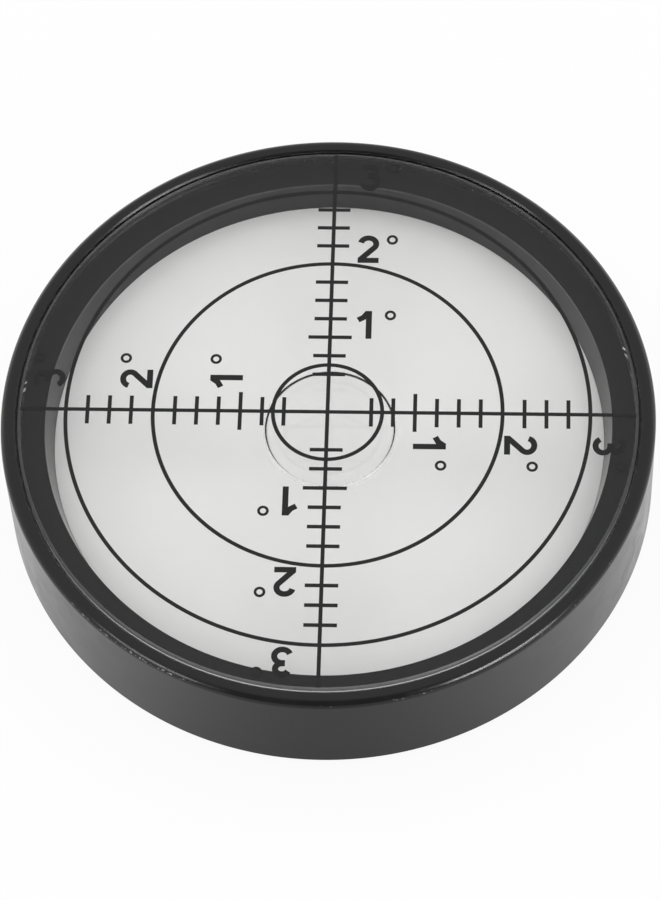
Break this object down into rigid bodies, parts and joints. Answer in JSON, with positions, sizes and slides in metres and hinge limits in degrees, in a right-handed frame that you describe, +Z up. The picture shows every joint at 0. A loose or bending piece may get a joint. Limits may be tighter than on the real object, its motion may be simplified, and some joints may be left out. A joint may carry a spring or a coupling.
{
  "type": "bullseye level",
  "caption": "Circular spirit level: a shallow black turned body with a clear glass lens, a printed ring dial and a bubble floating over a white disc.",
  "frame": {"origin": "centre of the body's flat base", "axes": "+Z up through the lens, +X along one arm of the dial's cross; the filling screw in the base lies towards -Y"},
  "size_m": [0.06, 0.06, 0.012],
  "materials": {
    "anodised_aluminium": "satin",
    "white_plastic": "satin",
    "spirit": "polished",
    "nitrile_rubber": "matte",
    "optical_glass": "polished",
    "black_resin": "satin",
    "dial_ink": "satin",
    "plated_steel": "satin",
    "nylon": "satin"
  },
  "bodies": {
    "root": {"housing": "anodised_aluminium", "backing_disc": "white_plastic", "spirit": "spirit", "lens_gasket": "nitrile_rubber", "lens": "optical_glass", "lens_bond": "black_resin", "dial_print": "dial_ink", "fill_screw": "plated_steel", "fill_washer": "nylon"}
  },
  "joints": []
}
